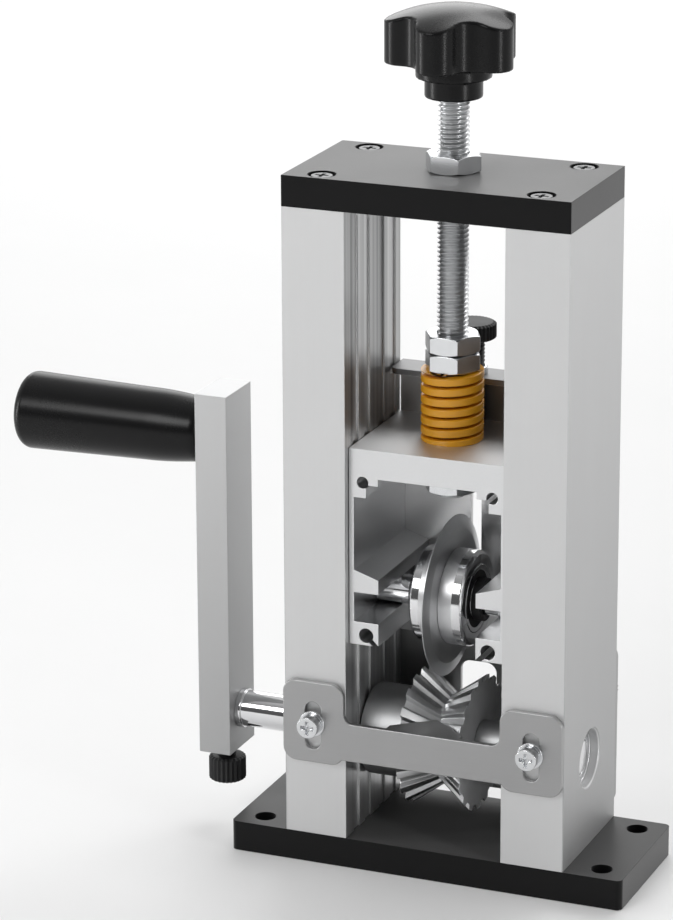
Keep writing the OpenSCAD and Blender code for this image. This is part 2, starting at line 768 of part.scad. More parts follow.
// Flat crank arm bored for shaft, handle bolt and clamp screw
module crank_arm() {
    color(silver) difference() {
        translate([-shaft_left_x, -arm_w / 2, arm_bottom_z]) cube([arm_t, arm_w, arm_top_z - arm_bottom_z]);
        translate([0, 0, shaft_z]) bar_x(-shaft_left_x - cut_more, cut_more - arm_in_x, seat_r + fit_gap);
        translate([0, 0, grip_z])
            bar_x(-shaft_left_x - cut_more, bolt_grip_in - shaft_left_x, bolt_r + fit_gap);
        translate([arm_t / 2 - shaft_left_x, 0, arm_bottom_z - cut_more])
            cylinder(h = shaft_z - arm_bottom_z + cut_more, r = clamp_r + fit_gap);
    }
}

// Bolt that the grip turns on, screwed into the arm
module handle_bolt() {
    head_x = shaft_left_x + grip_gap + grip_len - bolt_sunk;
    color(steel) translate([0, 0, grip_z]) difference() {
        union() {
            bar_x(-head_x, bolt_grip_in - shaft_left_x, bolt_r);
            bar_x(-head_x, bolt_head_t - head_x, bolt_head_r);
        }
        translate([-head_x - cut_more, 0, 0]) rotate([0, 90, 0])
            cylinder(h = bolt_socket_depth + cut_more, r = bolt_socket_r, $fn = 6);
    }
}

// Turned grip, narrowed towards the arm and rounded at its far end
module handle_grip() {
    neck = grip_len * grip_neck_share;
    head_in = bolt_sunk + bolt_head_t;
    color(black) translate([-shaft_left_x - grip_gap, 0, grip_z]) rotate([0, -90, 0]) rotate_extrude()
        polygon(concat(
            [[bolt_r + grip_fit, 0]],
            [for (i = [0:6]) [grip_near_r + (grip_mid_r - grip_near_r) * sin(15 * i), neck * i / 6]],
            [for (i = [0:6]) [grip_far_r - grip_round + grip_round * cos(15 * i),
                grip_len - grip_round + grip_round * sin(15 * i)]],
            [[bolt_head_r + grip_fit, grip_len], [bolt_head_r + grip_fit, grip_len - head_in - grip_fit],
            [bolt_r + grip_fit, grip_len - head_in - grip_fit]]));
}

// Knurled screw that clamps the arm to the shaft from below
module clamp_screw() {
    color(black) translate([arm_t / 2 - shaft_left_x, 0, clamp_head_z]) {
        cylinder(h = clamp_head_h, r = clamp_head_r);
        cylinder(h = shaft_z - seat_r - fit_gap - clamp_head_z, r = clamp_r);
    }
}

// Lock nut on the top plate
module lock_nut() {
    color(steel) translate([0, 0, top_z]) hex_nut(nut_corner, nut_h, rod_r + fit_gap, nut_bevel);
}

// Two jammed nuts that press on the spring
module spring_nuts() {
    color(steel) for (z = [nuts_low, nuts_low + nut_h + nut_seam])
        translate([0, 0, z]) hex_nut(nut_corner, nut_h, rod_r + fit_gap, nut_bevel);
}

// Washer under the carriage web
module retaining_washer() {
    color(steel) translate([0, 0, web_low - washer_t]) difference() {
        cylinder(h = washer_t, r = washer_r);
        translate([0, 0, -cut_more]) cylinder(h = washer_t + 2 * cut_more, r = rod_r + fit_gap);
    }
}

// Nut that lifts the carriage
module retaining_nut() {
    color(steel) translate([0, 0, web_low - washer_t - nut_h])
        hex_nut(nut_corner, nut_h, rod_r + fit_gap, nut_bevel);
}

// Threaded rod of the pressure screw, drawn over its thread crests
module threaded_rod() {
    color(steel) translate([0, 0, rod_bottom_z]) {
        cylinder(h = shaft_bevel, r1 = rod_r - shaft_bevel, r2 = rod_r);
        translate([0, 0, shaft_bevel]) cylinder(h = rod_top_z - rod_bottom_z - shaft_bevel, r = rod_r);
    }
}

// Lobed outline of the star knob, smooth between lobes and hollows
module star_outline() {
    at = knob_r - lobe_r;
    c = cos(180 / lobes);
    hollow = (pow(hollow_floor_r, 2) + at * at - 2 * hollow_floor_r * at * c - lobe_r * lobe_r)
        / (2 * (lobe_r + at * c - hollow_floor_r));
    far = hollow_floor_r + hollow;
    for (i = [0:lobes - 1]) rotate(360 * i / lobes - 90) {
        translate([at, 0]) circle(r = lobe_r);
        difference() {
            polygon([[0, 0], [at, 0], [far * c, far * sin(180 / lobes)],
                [at * cos(360 / lobes), at * sin(360 / lobes)]]);
            rotate(180 / lobes) translate([far, 0]) circle(r = hollow);
        }
    }
}

// Star knob with a domed top, a collar and a hub
module star_knob() {
    rim_top = knob_z + knob_rim_h;
    crown = rim_top + knob_dome_h;
    hub_low = knob_z - knob_collar_h - knob_hub_h;
    color(black) difference() {
        union() {
            intersection() {
                translate([0, 0, knob_z]) linear_extrude(crown - knob_z) star_outline();
                translate([0, 0, crown - dome_r]) sphere(r = dome_r);
            }
            translate([0, 0, knob_z - knob_collar_h]) cylinder(h = knob_collar_h, r = knob_collar_r);
            translate([0, 0, hub_low]) cylinder(h = knob_hub_h, r = knob_hub_r);
        }
        translate([0, 0, hub_low - cut_more])
            cylinder(h = rod_top_z + fit_gap - hub_low + cut_more, r = rod_r + fit_gap);
    }
}

// Points of the spring wire, ring by ring
spring_pitch = (spring_high - spring_low - wire_h) / spring_turns;
spring_count = spring_rings * spring_turns;
wire_edge_r = spring_r - wire_w * wire_share / 4;
wire_shape = [[spring_r, wire_h * wire_share], [wire_edge_r, wire_h / 2], [spring_r - wire_w, wire_h / 2],
    [spring_r - wire_w, -wire_h / 2], [wire_edge_r, -wire_h / 2], [spring_r, -wire_h * wire_share]];
spring_sides = len(wire_shape);
function spring_point(i, k) = let (a = 360 * i / spring_rings, p = wire_shape[k])
    [p[0] * cos(a), p[0] * sin(a), spring_low + wire_h / 2 + spring_pitch * i / spring_rings + p[1]];
spring_points = [for (i = [0:spring_count], k = [0:spring_sides - 1]) spring_point(i, k)];
function ring_gap(i, j) = min([for (a = [0:spring_sides - 1], b = [0:spring_sides - 1])
    norm(spring_point(i, a) - spring_point(j, b))]);
spring_gap = min([for (j = [spring_rings - 3:spring_rings + 3]) ring_gap(0, j)]);
echo("least gap between curls of the spring", spring_gap);

// Die spring between the carriage and the jammed nuts
module die_spring() {
    last = spring_count * spring_sides;
    color(amber) polyhedron(points = spring_points, faces = concat(
        [[for (k = [0:spring_sides - 1]) k]],
        [[for (k = [0:spring_sides - 1]) last + spring_sides - 1 - k]],
        [for (i = [0:spring_count - 1], k = [0:spring_sides - 1], h = [0, 1])
            let (n = (k + 1) % spring_sides, a = i * spring_sides, b = a + spring_sides)
            h == 0 ? [a + k, b + k, b + n] : [a + k, b + n, a + n]]));
}

// Right half of the carriage section, seen from the front
module carriage_half() {
    half_w = carriage_w / 2;
    wall_x = half_w - wall_t;
    ledge_top = slot_high + ledge_tip_t + ledge_slope;
    difference() {
        union() {
            translate([0, web_low]) square([half_w, web_t]);
            translate([wall_x, carriage_z]) square([wall_t, carriage_h]);
            translate([corner_x, web_low - corner_h]) square([half_w - corner_x, corner_h + cut_more]);
            translate([corner_x - lip_w, web_low - lip_h]) square([lip_w + cut_more, lip_h + cut_more]);
            polygon([[ledge_tip_x, slot_high], [half_w, slot_high], [half_w, ledge_top],
                [wall_x, ledge_top], [ledge_tip_x, slot_high + ledge_tip_t]]);
            translate([ledge_tip_x, carriage_z]) square([half_w - ledge_tip_x, slot_low - carriage_z]);
        }
        translate([port_top_x, web_low - port_top_drop]) {
            circle(r = port_r);
            rotate(mouth_turn) translate([0, -mouth_top_w / 2]) square([mouth_top_len, mouth_top_w]);
        }
        translate([port_low_x, carriage_z + port_low_rise]) {
            circle(r = port_low_r);
            rotate(mouth_turn) translate([0, -mouth_w / 2]) square([mouth_len, mouth_w]);
        }
    }
}

// Extruded carriage that slides between the uprights
module carriage() {
    color(silver) difference() {
        rotate([90, 0, 0]) linear_extrude(carriage_d, center = true) both_sides() carriage_half();
        translate([0, 0, web_low - cut_more]) cylinder(h = web_t + 2 * cut_more, r = rod_r + pass_gap);
    }
}

// Blade axle lying in the carriage slots
module blade_axle() {
    color(steel) translate([0, 0, axle_z]) bar_x(-axle_half, axle_half, axle_r);
}

// Black sleeves that hold the blade bearings in place
module axle_sleeves() {
    color(black) translate([0, 0, axle_z]) both_sides()
        ring_x(hub_half, sleeve_end_x, sleeve_r, axle_r + fit_gap);
}

module blade_bearing_inner() {
    color(steel) translate([0, 0, axle_z]) both_sides()
        ring_x(bb_in_x, hub_half, axle_r + fit_gap + bb_race, axle_r + fit_gap);
}

module blade_bearing_outer() {
    color(steel) translate([0, 0, axle_z]) both_sides()
        ring_x(bb_in_x, hub_half, bb_outer_r, bb_outer_r - bb_race);
}

module blade_bearing_balls() {
    color(steel) translate([0, 0, axle_z]) both_sides()
        ball_ring(bb_in_x + bb_w / 2, axle_r + fit_gap + bb_race, bb_outer_r - bb_race, bb_balls);
}

// Seals in both ends of the two blade bearings
module blade_seals() {
    color(black) translate([0, 0, axle_z]) both_sides()
        for (x = [bb_in_x + seal_gap, hub_half - seal_gap - seal_t])
            ring_x(x, x + seal_t, bb_outer_r - bb_race, axle_r + fit_gap + bb_race + seal_gap);
}

// Circular blade with a bevel ground on both faces
module blade_disc() {
    color(steel) translate([0, 0, axle_z]) rotate([0, 90, 0]) rotate_extrude() polygon([
        [spigot_r + fit_gap, -blade_t / 2], [blade_r - bevel_w, -blade_t / 2], [blade_r, -edge_t / 2],
        [blade_r, edge_t / 2], [blade_r - bevel_w, blade_t / 2], [spigot_r + fit_gap, blade_t / 2]]);
}

// Hub on the crank side with the spigot that centres the blade
module blade_hub() {
    color(steel) translate([0, 0, axle_z]) rotate([0, 90, 0]) rotate_extrude() polygon([
        [hub_bore_r, -bb_in_x], [hub_bore_r, bb_in_x], [spigot_r, bb_in_x], [spigot_r, -blade_t / 2],
        [hub_r, -blade_t / 2], [hub_r, hub_bevel - hub_half], [hub_r - hub_bevel, -hub_half],
        [bb_outer_r + fit_gap, -hub_half], [bb_outer_r + fit_gap, -bb_in_x]]);
}

// Clamp ring pressed on the spigot against the blade
module clamp_ring() {
    color(steel) translate([0, 0, axle_z]) rotate([0, 90, 0]) rotate_extrude() polygon([
        [spigot_r + fit_gap, blade_t / 2], [hub_r, blade_t / 2], [hub_r, hub_half - hub_bevel],
        [hub_r - hub_bevel, hub_half], [bb_outer_r + fit_gap, hub_half], [bb_outer_r + fit_gap, bb_in_x],
        [spigot_r + fit_gap, bb_in_x]]);
}

// Slotted gate behind the carriage with its flange bent to the front
module gate_plate() {
    color(silver) difference() {
        union() {
            translate([-gate_half, gate_y, gate_low_z])
                cube([2 * gate_half, sheet_t, gate_top_z - gate_low_z]);
            translate([0, 0, gate_top_z - sheet_t]) linear_extrude(sheet_t) {
                translate([-gate_half, flange_y + flange_corner])
                    square([2 * gate_half, gate_y + sheet_t - flange_y - flange_corner]);
                translate([flange_corner - gate_half, flange_y])
                    square([2 * (gate_half - flange_corner), flange_corner]);
                both_sides() translate([gate_half - flange_corner, flange_y + flange_corner])
                    circle(r = flange_corner);
            }
        }
        translate([-gate_slot_x, gate_y - cut_more, gate_low_z - cut_more])
            cube([2 * gate_slot_x, sheet_t + 2 * cut_more, gate_slot_top - gate_low_z + cut_more]);
        translate([0, gate_screw_y, gate_top_z - sheet_t - cut_more])
            cylinder(h = sheet_t + 2 * cut_more, r = gate_screw_r + fit_gap);
    }
}

// Clinch nut of the gate screw, pressed on the flange
module gate_nut() {
    color(steel) translate([0, gate_screw_y, gate_top_z]) difference() {
        cylinder(h = gate_nut_h, r = gate_nut_r);
        translate([0, 0, -cut_more]) cylinder(h = gate_nut_h + 2 * cut_more, r = gate_screw_r + fit_gap);
    }
}

// Knurled screw that stands on the carriage and lifts the gate
module gate_screw() {
    color(black) translate([0, gate_screw_y, 0]) {
        translate([0, 0, carriage_top])
            cylinder(h = gate_head_top - carriage_top - gate_head_h, r = gate_screw_r);
        translate([0, 0, gate_head_top - gate_head_h]) cylinder(h = gate_head_h, r = gate_head_r);
    }
}

// Front outline of the front guide: two slotted lobes, a bar and the U-notch
module front_outline() {
    lobe_z = (front_low_z + front_top_z) / 2;
    difference() {
        union() {
            both_sides() {
                translate([upright_x, lobe_z])
                    round_plate(upright_w, front_top_z - front_low_z, front_corner);
                translate([half_gap - notch_corner, notch_z]) difference() {
                    square([notch_corner + front_corner, notch_corner]);
                    translate([0, notch_corner]) circle(r = notch_corner);
                }
            }
            translate([-half_gap - front_corner, front_bar_z])
                square([2 * (half_gap + front_corner), notch_z - front_bar_z]);
        }
        both_sides() translate([front_slot_x, 0]) slot_shape(front_slot_w, front_slot_low, front_slot_high);
    }
}

// Front guide plate with the tongue bent back towards the wheel
module front_guide() {
    color(steel) {
        translate([0, -half_d, 0]) rotate([90, 0, 0]) linear_extrude(sheet_t) front_outline();
        translate([0, 0, notch_z - sheet_t]) linear_extrude(sheet_t) polygon([
            [-tongue_x, -half_d - sheet_t / 2], [tongue_x, -half_d - sheet_t / 2], [tongue_x, -tongue_side_y],
            [0, -tongue_tip_y], [-tongue_x, -tongue_side_y]]);
    }
}

// Rear guide plate with the cable inlet
module rear_guide() {
    slot_z = rear_screw_z - rear_slot_len / 2;
    color(steel) translate([0, half_d + sheet_t, 0]) rotate([90, 0, 0]) linear_extrude(sheet_t) difference() {
        translate([0, (rear_low_z + rear_top_z) / 2])
            round_plate(2 * outer_x, rear_top_z - rear_low_z, front_corner);
        translate([0, inlet_z]) round_plate(inlet_w, inlet_h, inlet_corner);
        both_sides() translate([rear_slot_x, 0]) slot_shape(rear_slot_w, slot_z, slot_z + rear_slot_len);
    }
}

// Knurled screw of the rear guide at the given side
module rear_screw(side) {
    color(black) translate([side * rear_slot_x, half_d + sheet_t, rear_screw_z]) rotate([-90, 0, 0]) {
        translate([0, 0, -sheet_t - thumb_in]) cylinder(h = sheet_t + thumb_in + collar_h, r = thumb_r);
        cylinder(h = collar_h, r = collar_r);
        translate([0, 0, collar_h]) cylinder(h = thumb_head_h, r = thumb_head_r);
    }
}

module rear_screw_left() {
    rear_screw(-1);
}

module rear_screw_right() {
    rear_screw(1);
}

base_plate();
base_screws();
left_upright();
right_upright();
top_plate();
top_screws();
shaft_bearing_outer();
shaft_bearing_seals();
guide_screws();
guide_washers();
drive_shaft();
wheel_left();
wheel_right();
wheel_spacers();
shaft_bearing_inner();
shaft_bearing_balls();
crank_arm();
handle_bolt();
handle_grip();
clamp_screw();
lock_nut();
die_spring();
threaded_rod();
star_knob();
spring_nuts();
retaining_washer();
retaining_nut();
carriage();
blade_axle();
axle_sleeves();
blade_bearing_inner();
blade_bearing_balls();
blade_disc();
blade_hub();
clamp_ring();
blade_bearing_outer();
blade_seals();
gate_plate();
gate_nut();
gate_screw();
front_guide();
rear_guide();
rear_screw_left();
rear_screw_right();
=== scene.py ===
import math

import bpy
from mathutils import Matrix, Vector


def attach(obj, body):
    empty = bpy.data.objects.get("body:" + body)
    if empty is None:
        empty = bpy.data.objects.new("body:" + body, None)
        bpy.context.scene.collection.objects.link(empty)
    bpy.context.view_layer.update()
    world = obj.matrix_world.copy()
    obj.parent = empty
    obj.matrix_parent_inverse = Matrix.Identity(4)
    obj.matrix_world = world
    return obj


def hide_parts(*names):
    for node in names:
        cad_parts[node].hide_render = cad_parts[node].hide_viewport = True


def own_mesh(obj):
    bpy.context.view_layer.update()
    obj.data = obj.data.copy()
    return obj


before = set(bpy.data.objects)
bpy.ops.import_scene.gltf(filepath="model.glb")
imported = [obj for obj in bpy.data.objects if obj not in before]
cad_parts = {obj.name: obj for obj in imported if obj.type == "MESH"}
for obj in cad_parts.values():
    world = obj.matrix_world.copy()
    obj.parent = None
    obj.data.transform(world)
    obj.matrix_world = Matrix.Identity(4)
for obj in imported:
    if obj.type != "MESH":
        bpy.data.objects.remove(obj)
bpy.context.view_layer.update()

# Camera
# A long lens a little above the tool and to the right of its front, with the upright image of
# the photograph, 673 by 920.
azimuth = math.radians(22.606)
height = math.radians(17.717)
lean = math.radians(-0.258)
eye_place = (0.444113, -1.161819, 0.531218)
lens_length = 161.414
film_width = 36
far_end = 50
back = Vector((math.sin(azimuth) * math.cos(height), -math.cos(azimuth) * math.cos(height), math.sin(height)))
right = Vector((math.cos(azimuth), math.sin(azimuth), 0))
up = back.cross(right)
side = math.cos(lean) * right + math.sin(lean) * up
over = math.cos(lean) * up - math.sin(lean) * right
eye = bpy.data.objects.new("camera", bpy.data.cameras.new("camera"))
eye.data.sensor_width = film_width
eye.data.lens = lens_length
eye.data.clip_end = far_end
for row in range(3):
    for column, way in enumerate((side, over, back)):
        eye.matrix_world[row][column] = way[row]
eye.matrix_world.translation = eye_place
bpy.context.scene.collection.objects.link(eye)
bpy.context.scene.camera = eye
bpy.context.scene.view_settings.view_transform = "Standard"

# Studio
# A room that is dark in front of the tool and light behind and above it, with tall light strips
# at both sides, lamps over the floor round it and a sheet of white laminate under it.
floor_size, floor_drop, floor_glow = 12, 0.0002, 0.07
dark_way, dark_level = -0.9, 0.1
light_way, light_level = 0.1, 0.72
black, white = (0, 0, 0), (1, 1, 1)
laminate_dull = (0.71, 0.71, 0.71)
laminate_light = (0.74, 0.74, 0.74)
room = bpy.data.worlds.new("room")
room.use_nodes = True
bpy.context.scene.world = room


def soft_box(name, place, aim, size, power):
    """A square lamp that the camera doesn't see."""
    lamp = bpy.data.objects.new(name, bpy.data.lights.new(name, "AREA"))
    lamp.data.size = size
    lamp.data.energy = power
    lamp.location = place
    lamp.rotation_euler = (Vector(aim) - Vector(place)).to_track_quat("-Z", "Y").to_euler()
    lamp.visible_camera = False
    bpy.context.scene.collection.objects.link(lamp)
    return lamp


def light_strip(name, place, width, tall, power):
    """A narrow upright lamp that faces the tool."""
    strip = soft_box(name, place, (0, 0, place[2]), width, power)
    strip.data.shape = "RECTANGLE"
    strip.data.size_y = tall


soft_box("front_left_box", place=(-0.44, -1.2, 0.9), aim=(-0.24, -0.9, 0), size=0.6, power=8)
soft_box("back_left_box", place=(-0.8, 1.4, 0.8), aim=(0, 0, 0.2), size=0.9, power=4.5)
soft_box("back_floor_box", place=(0.3, 2.2, 2.2), aim=(0.3, 2.2, 0), size=2.0, power=42)
light_strip("left_strip", place=(-1.3, -0.75, 0.55), width=0.16, tall=0.9, power=2.5)
light_strip("side_strip", place=(1.4, -0.5, 0.7), width=0.16, tall=0.9, power=1.2)
light_strip("low_left_strip", place=(-0.5, -0.16, 0.14), width=0.06, tall=0.24, power=0.45)
light_strip("low_side_strip", place=(0.5, -0.22, 0.14), width=0.05, tall=0.22, power=0.4)


class Finish:
    """One socket among a finish's nodes. A sum written on it adds its Math nodes."""

    def __init__(self, tree, socket=None):
        self.tree = tree
        self.socket = socket

    def node(self, kind, sockets=None, out=0, **settings):
        """A node of this kind with its settings, and with values or links on its sockets."""
        made = self.tree.nodes.new("ShaderNode" + kind)
        for name, value in settings.items():
            setattr(made, name, value)
        for name, value in (sockets or {}).items():
            if isinstance(value, Finish):
                self.tree.links.new(value.socket, made.inputs[name])
            else:
                made.inputs[name].default_value = value
        return Finish(self.tree, made.outputs[out])

    def math(self, operation, first, second):
        return self.node("Math", {0: first, 1: second}, operation=operation)

    def __add__(self, other):
        return self.math("ADD", self, other)

    def __radd__(self, other):
        return self.math("ADD", other, self)

    def __sub__(self, other):
        return self.math("SUBTRACT", self, other)

    def __rsub__(self, other):
        return self.math("SUBTRACT", other, self)

    def __mul__(self, other):
        return self.math("MULTIPLY", self, other)

    def __rmul__(self, other):
        return self.math("MULTIPLY", other, self)

    def between(self, low, high):
        """Colour low where the value is 0 and high where it is 1."""
        return self.node("Mix", {0: self, 6: (*low, 1), 7: (*high, 1)}, out=2, data_type="RGBA")

    def axis(self, name):
        """The distance along one axis of a place."""
        return self.node("SeparateXYZ", {"Vector": self}, out=name)

    def within(self, reach):
        """1 where the value is closer to 0 than reach, else 0."""
        size = self.math("ABSOLUTE", self, 0)
        return size.math("LESS_THAN", size, reach)

    def above(self, limit):
        """1 where the value is larger than limit, else 0."""
        return self.math("GREATER_THAN", self, limit)

    def into(self, shader, name):
        """Links the value to a socket of the shader."""
        self.tree.links.new(self.socket, shader.inputs[name])

    def raised(self, shader, depth):
        """Takes the value as a relief that is depth metres high."""
        self.node("Bump", {"Height": self, "Distance": depth, "Strength": 1.0}).into(shader, "Normal")


def new_finish(name, roughness, metallic=0.0, **constants):
    """A material with its shader and the place on the piece, in metres."""
    material = bpy.data.materials.new(name)
    material.use_nodes = True
    shader = material.node_tree.nodes["Principled BSDF"]
    shader.inputs["Roughness"].default_value = roughness
    shader.inputs["Metallic"].default_value = metallic
    for socket, value in constants.items():
        shader.inputs[socket.replace("_", " ")].default_value = value
    return material, shader, Finish(material.node_tree).node("TexCoord", out="Object")


def grain(place, scale, detail=4.0):
    """Noise with about so many grains a metre along each axis."""
    spread = place.node("Mapping", {"Vector": place, "Scale": scale})
    return place.node("TexNoise", {"Vector": spread, "Scale": 1.0, "Detail": detail, "Roughness": 0.6})


def alone(piece):
    """Nothing but this piece is selected."""
    bpy.ops.object.select_all(action="DESELECT")
    piece.select_set(True)
    bpy.context.view_layer.objects.active = piece


sky = Finish(room.node_tree).node("TexCoord", out="Generated")
light = sky.node("MapRange", {"Value": sky.axis("Y"), "From Min": dark_way, "From Max": light_way,
                              "To Min": dark_level, "To Max": light_level})
light.between(black, white).into(room.node_tree.nodes["Background"], "Color")
laminate, shader, place = new_finish("white_laminate", roughness=0.55, Emission_Color=(*white, 1),
                                     Emission_Strength=floor_glow)
mottle = grain(place, (9, 9, 9))
mottle.between(laminate_dull, laminate_light).into(shader, "Base Color")
bpy.ops.object.select_all(action="DESELECT")
bpy.ops.mesh.primitive_plane_add(size=floor_size, location=(0, 0, -floor_drop))
floor = bpy.context.object
floor.name = "bench_floor"
bpy.ops.object.transform_apply(location=True, rotation=True, scale=True)
floor.data.materials.append(laminate)

# Base plate and top plate
# Two aluminium plates, sawn and milled to size, bead blasted and anodised black. The uprights
# stand between them and four screws hold each plate.
plate_black = (0.0025, 0.0025, 0.0027)
plate_worn = (0.0045, 0.0045, 0.0048)
plate_ease = 0.0004
solid_weld, flat_angle, edge_angle = 0.000002, 0.3, 30


def finish_of(piece, finish, body, slot, *solids):
    """Gives a piece its finish and the body it moves with, in place of these solids."""
    piece.data.materials.clear()
    piece.data.materials.append(finish)
    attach(piece, body)
    if solids:
        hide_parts(*solids)


def applied(piece, kind, **settings):
    """Adds a modifier and applies it."""
    alone(piece)
    made = piece.modifiers.new(kind.lower(), kind)
    for name, value in settings.items():
        setattr(made, name, value)
    bpy.ops.object.modifier_apply(modifier=made.name)


def smooth(piece, crease=50):
    """Smooth faces with the large flats kept flat and edges past the crease angle kept sharp."""
    alone(piece)
    bpy.ops.object.shade_smooth_by_angle(angle=math.radians(crease))
    applied(piece, "WEIGHTED_NORMAL", keep_sharp=True, weight=90)


def copy_of(solid):
    """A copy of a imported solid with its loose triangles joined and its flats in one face."""
    piece = bpy.data.objects.new(solid + "_piece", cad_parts[solid].data.copy())
    bpy.context.scene.collection.objects.link(piece)
    alone(piece)
    bpy.ops.mesh.customdata_custom_splitnormals_clear()
    bpy.ops.object.mode_set(mode="EDIT")
    bpy.ops.mesh.select_all(action="SELECT")
    bpy.ops.mesh.remove_doubles(threshold=solid_weld)
    bpy.ops.mesh.dissolve_limited(angle_limit=math.radians(flat_angle))
    bpy.ops.object.mode_set(mode="OBJECT")
    return piece


def eased(solid, ease, finish, body, slot, crease=50):
    """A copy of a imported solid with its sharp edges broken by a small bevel."""
    piece = copy_of(solid)
    if ease:
        applied(piece, "BEVEL", width=ease, segments=2, limit_method="ANGLE",
                angle_limit=math.radians(edge_angle))
    smooth(piece, crease)
    finish_of(piece, finish, body, slot, solid)


anodised, shader, place = new_finish("black_anodised", roughness=0.38, Specular_IOR_Level=0.15,
                                     Sheen_Weight=0.62, Sheen_Roughness=0.35)
blast = grain(place, (2600, 2600, 2600), detail=2.0)
cloud = grain(place, (38, 38, 38), detail=5.0)
cloud.between(plate_black, plate_worn).into(shader, "Base Color")
(0.33 + 0.09 * cloud + 0.05 * blast).into(shader, "Roughness")
blast.raised(shader, depth=0.000012)
for plate in ("base_plate", "top_plate"):
    eased(plate, plate_ease, anodised, "frame", "black_plate")

# Uprights
# Two lengths of aluminium profile with shallow flutes inside, sawn to length, brushed along
# the grain and anodised in their natural colour. The fluted sides are glossier and carry painted
# reflection streaks and painted shade, darker towards the top. The outer sides carry painted
# shade, darker towards the bottom.
aluminium_light = (0.74, 0.742, 0.744)
aluminium_painted_shade = (0.2, 0.202, 0.204)
inner_side, flute_reach, outer_side = 0.029, 0.0246, 0.0472
upright_ease = 0.00035
satin, shader, place = new_finish("satin_aluminium", roughness=0.4, metallic=0.88, IOR=1.5)
drawn = grain(place, (1500, 1500, 14), detail=5.0)
cloud = grain(place, (26, 26, 9), detail=4.0)
# Upright bands used only for the painted reflection streaks on the fluted sides.
painted_streak_bands = grain(place, (150, 190, 1.2), detail=2.0)
inside = place.axis("X").within(inner_side) * place.axis("Y").within(flute_reach)
outside = 1 - place.axis("X").within(outer_side)
# Painted reflection streaks and painted shade on the fluted sides, darker towards the top.
painted_flute_streaks_and_shade = inside * (1.5 - 2.0 * painted_streak_bands) * (0.35 + 4.5 * place.axis("Z"))
# Painted shade on the outer sides, darker towards the bottom.
painted_side_shade = outside * (0.46 - 1.9 * place.axis("Z"))
brightness_and_painted_shade = 0.84 + 0.1 * cloud + 0.06 * drawn - (painted_flute_streaks_and_shade + painted_side_shade)
brightness_and_painted_shade.between(aluminium_painted_shade, aluminium_light).into(shader, "Base Color")
(0.47 + 0.1 * drawn + 0.06 * cloud - 0.22 * inside).into(shader, "Roughness")
drawn.raised(shader, depth=0.000004)
for upright in ("left_upright", "right_upright"):
    eased(upright, upright_ease, satin, "frame", "satin_aluminium")

# Screws of the plates and of the front guide
# Zinc-plated steel screws. Those of the plates are countersunk and have gone dull, and the
# bright ones of the front guide clamp its slots over round washers.
zinc_light = (0.8, 0.81, 0.82)
zinc_dull = (0.62, 0.63, 0.645)
old_zinc_light = (0.22, 0.222, 0.225)
old_zinc_dull = (0.12, 0.122, 0.125)
flat_ease, head_ease = 0.0002, 0.00025
zinc, shader, place = new_finish("zinc_plate", roughness=0.24, metallic=1.0)
cloud = grain(place, (260, 260, 260), detail=4.0)
fine = grain(place, (3000, 3000, 3000), detail=2.0)
cloud.between(zinc_dull, zinc_light).into(shader, "Base Color")
(0.16 + 0.14 * cloud).into(shader, "Roughness")
fine.raised(shader, depth=0.000005)
dull_zinc, shader, place = new_finish("dull_zinc", roughness=0.4, metallic=0.9)
cloud = grain(place, (500, 500, 500), detail=4.0)
cloud.between(old_zinc_dull, old_zinc_light).into(shader, "Base Color")
(0.34 + 0.16 * cloud).into(shader, "Roughness")
for screws, finish, ease in (("top_screws", dull_zinc, flat_ease), ("base_screws", dull_zinc, flat_ease),
                             ("guide_screws", zinc, head_ease), ("guide_washers", zinc, flat_ease)):
    eased(screws, ease, finish, "frame", "plated_steel")

# Shaft bearings
# Sealed ball bearings pressed into the uprights: ground and polished rings of bearing steel,
# with plated steel shields at their ends.
polish_light = (0.83, 0.83, 0.84)
polish_dull = (0.7, 0.705, 0.715)
rubber_dark = (0.012, 0.012, 0.012)
rubber_light = (0.02, 0.02, 0.02)
turned_ease, shield_ease = 0.0003, 0.0001
polished, shader, place = new_finish("polished_steel", roughness=0.08, metallic=1.0)
cloud = grain(place, (120, 120, 120), detail=3.0)
cloud.between(polish_dull, polish_light).into(shader, "Base Color")
(0.05 + 0.07 * cloud).into(shader, "Roughness")
rubber, shader, place = new_finish("black_rubber", roughness=0.6, Specular_IOR_Level=0.4)
cloud = grain(place, (400, 400, 400), detail=3.0)
cloud.between(rubber_dark, rubber_light).into(shader, "Base Color")
(0.52 + 0.12 * cloud).into(shader, "Roughness")
eased("shaft_bearing_outer", turned_ease, polished, "frame", "polished_steel")
eased("shaft_bearing_inner", turned_ease, polished, "drive", "polished_steel")
eased("shaft_bearing_seals", shield_ease, zinc, "frame", "plated_steel")
for balls in ("shaft_bearing_balls", "blade_bearing_balls"):
    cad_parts[balls].data.materials.clear()
    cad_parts[balls].data.materials.append(polished)

# Drive shaft, its spacers and the feed wheel
# A ground shaft carries two toothed cones of hardened steel with their small ends together,
# which makes the V that grips the cable. Turned aluminium sleeves keep them in the middle.
sleeve_dull = (0.42, 0.425, 0.43)
sleeve_light = (0.52, 0.525, 0.53)
hardened_dull = (0.56, 0.565, 0.57)
hardened_light = (0.76, 0.765, 0.77)
wheel_end = 0.01044
tooth_ease = 0.00016
sleeve_metal, shader, place = new_finish("turned_aluminium", roughness=0.2, metallic=1.0)
turned_marks = grain(place, (2600, 60, 60), detail=4.0)
cloud = grain(place, (90, 90, 90), detail=3.0)
cloud.between(sleeve_dull, sleeve_light).into(shader, "Base Color")
(0.4 + 0.12 * turned_marks).into(shader, "Roughness")
turned_marks.raised(shader, depth=0.000004)
toothed, shader, place = new_finish("hardened_steel", roughness=0.22, metallic=1.0)
fine = grain(place, (700, 700, 700), detail=4.0)
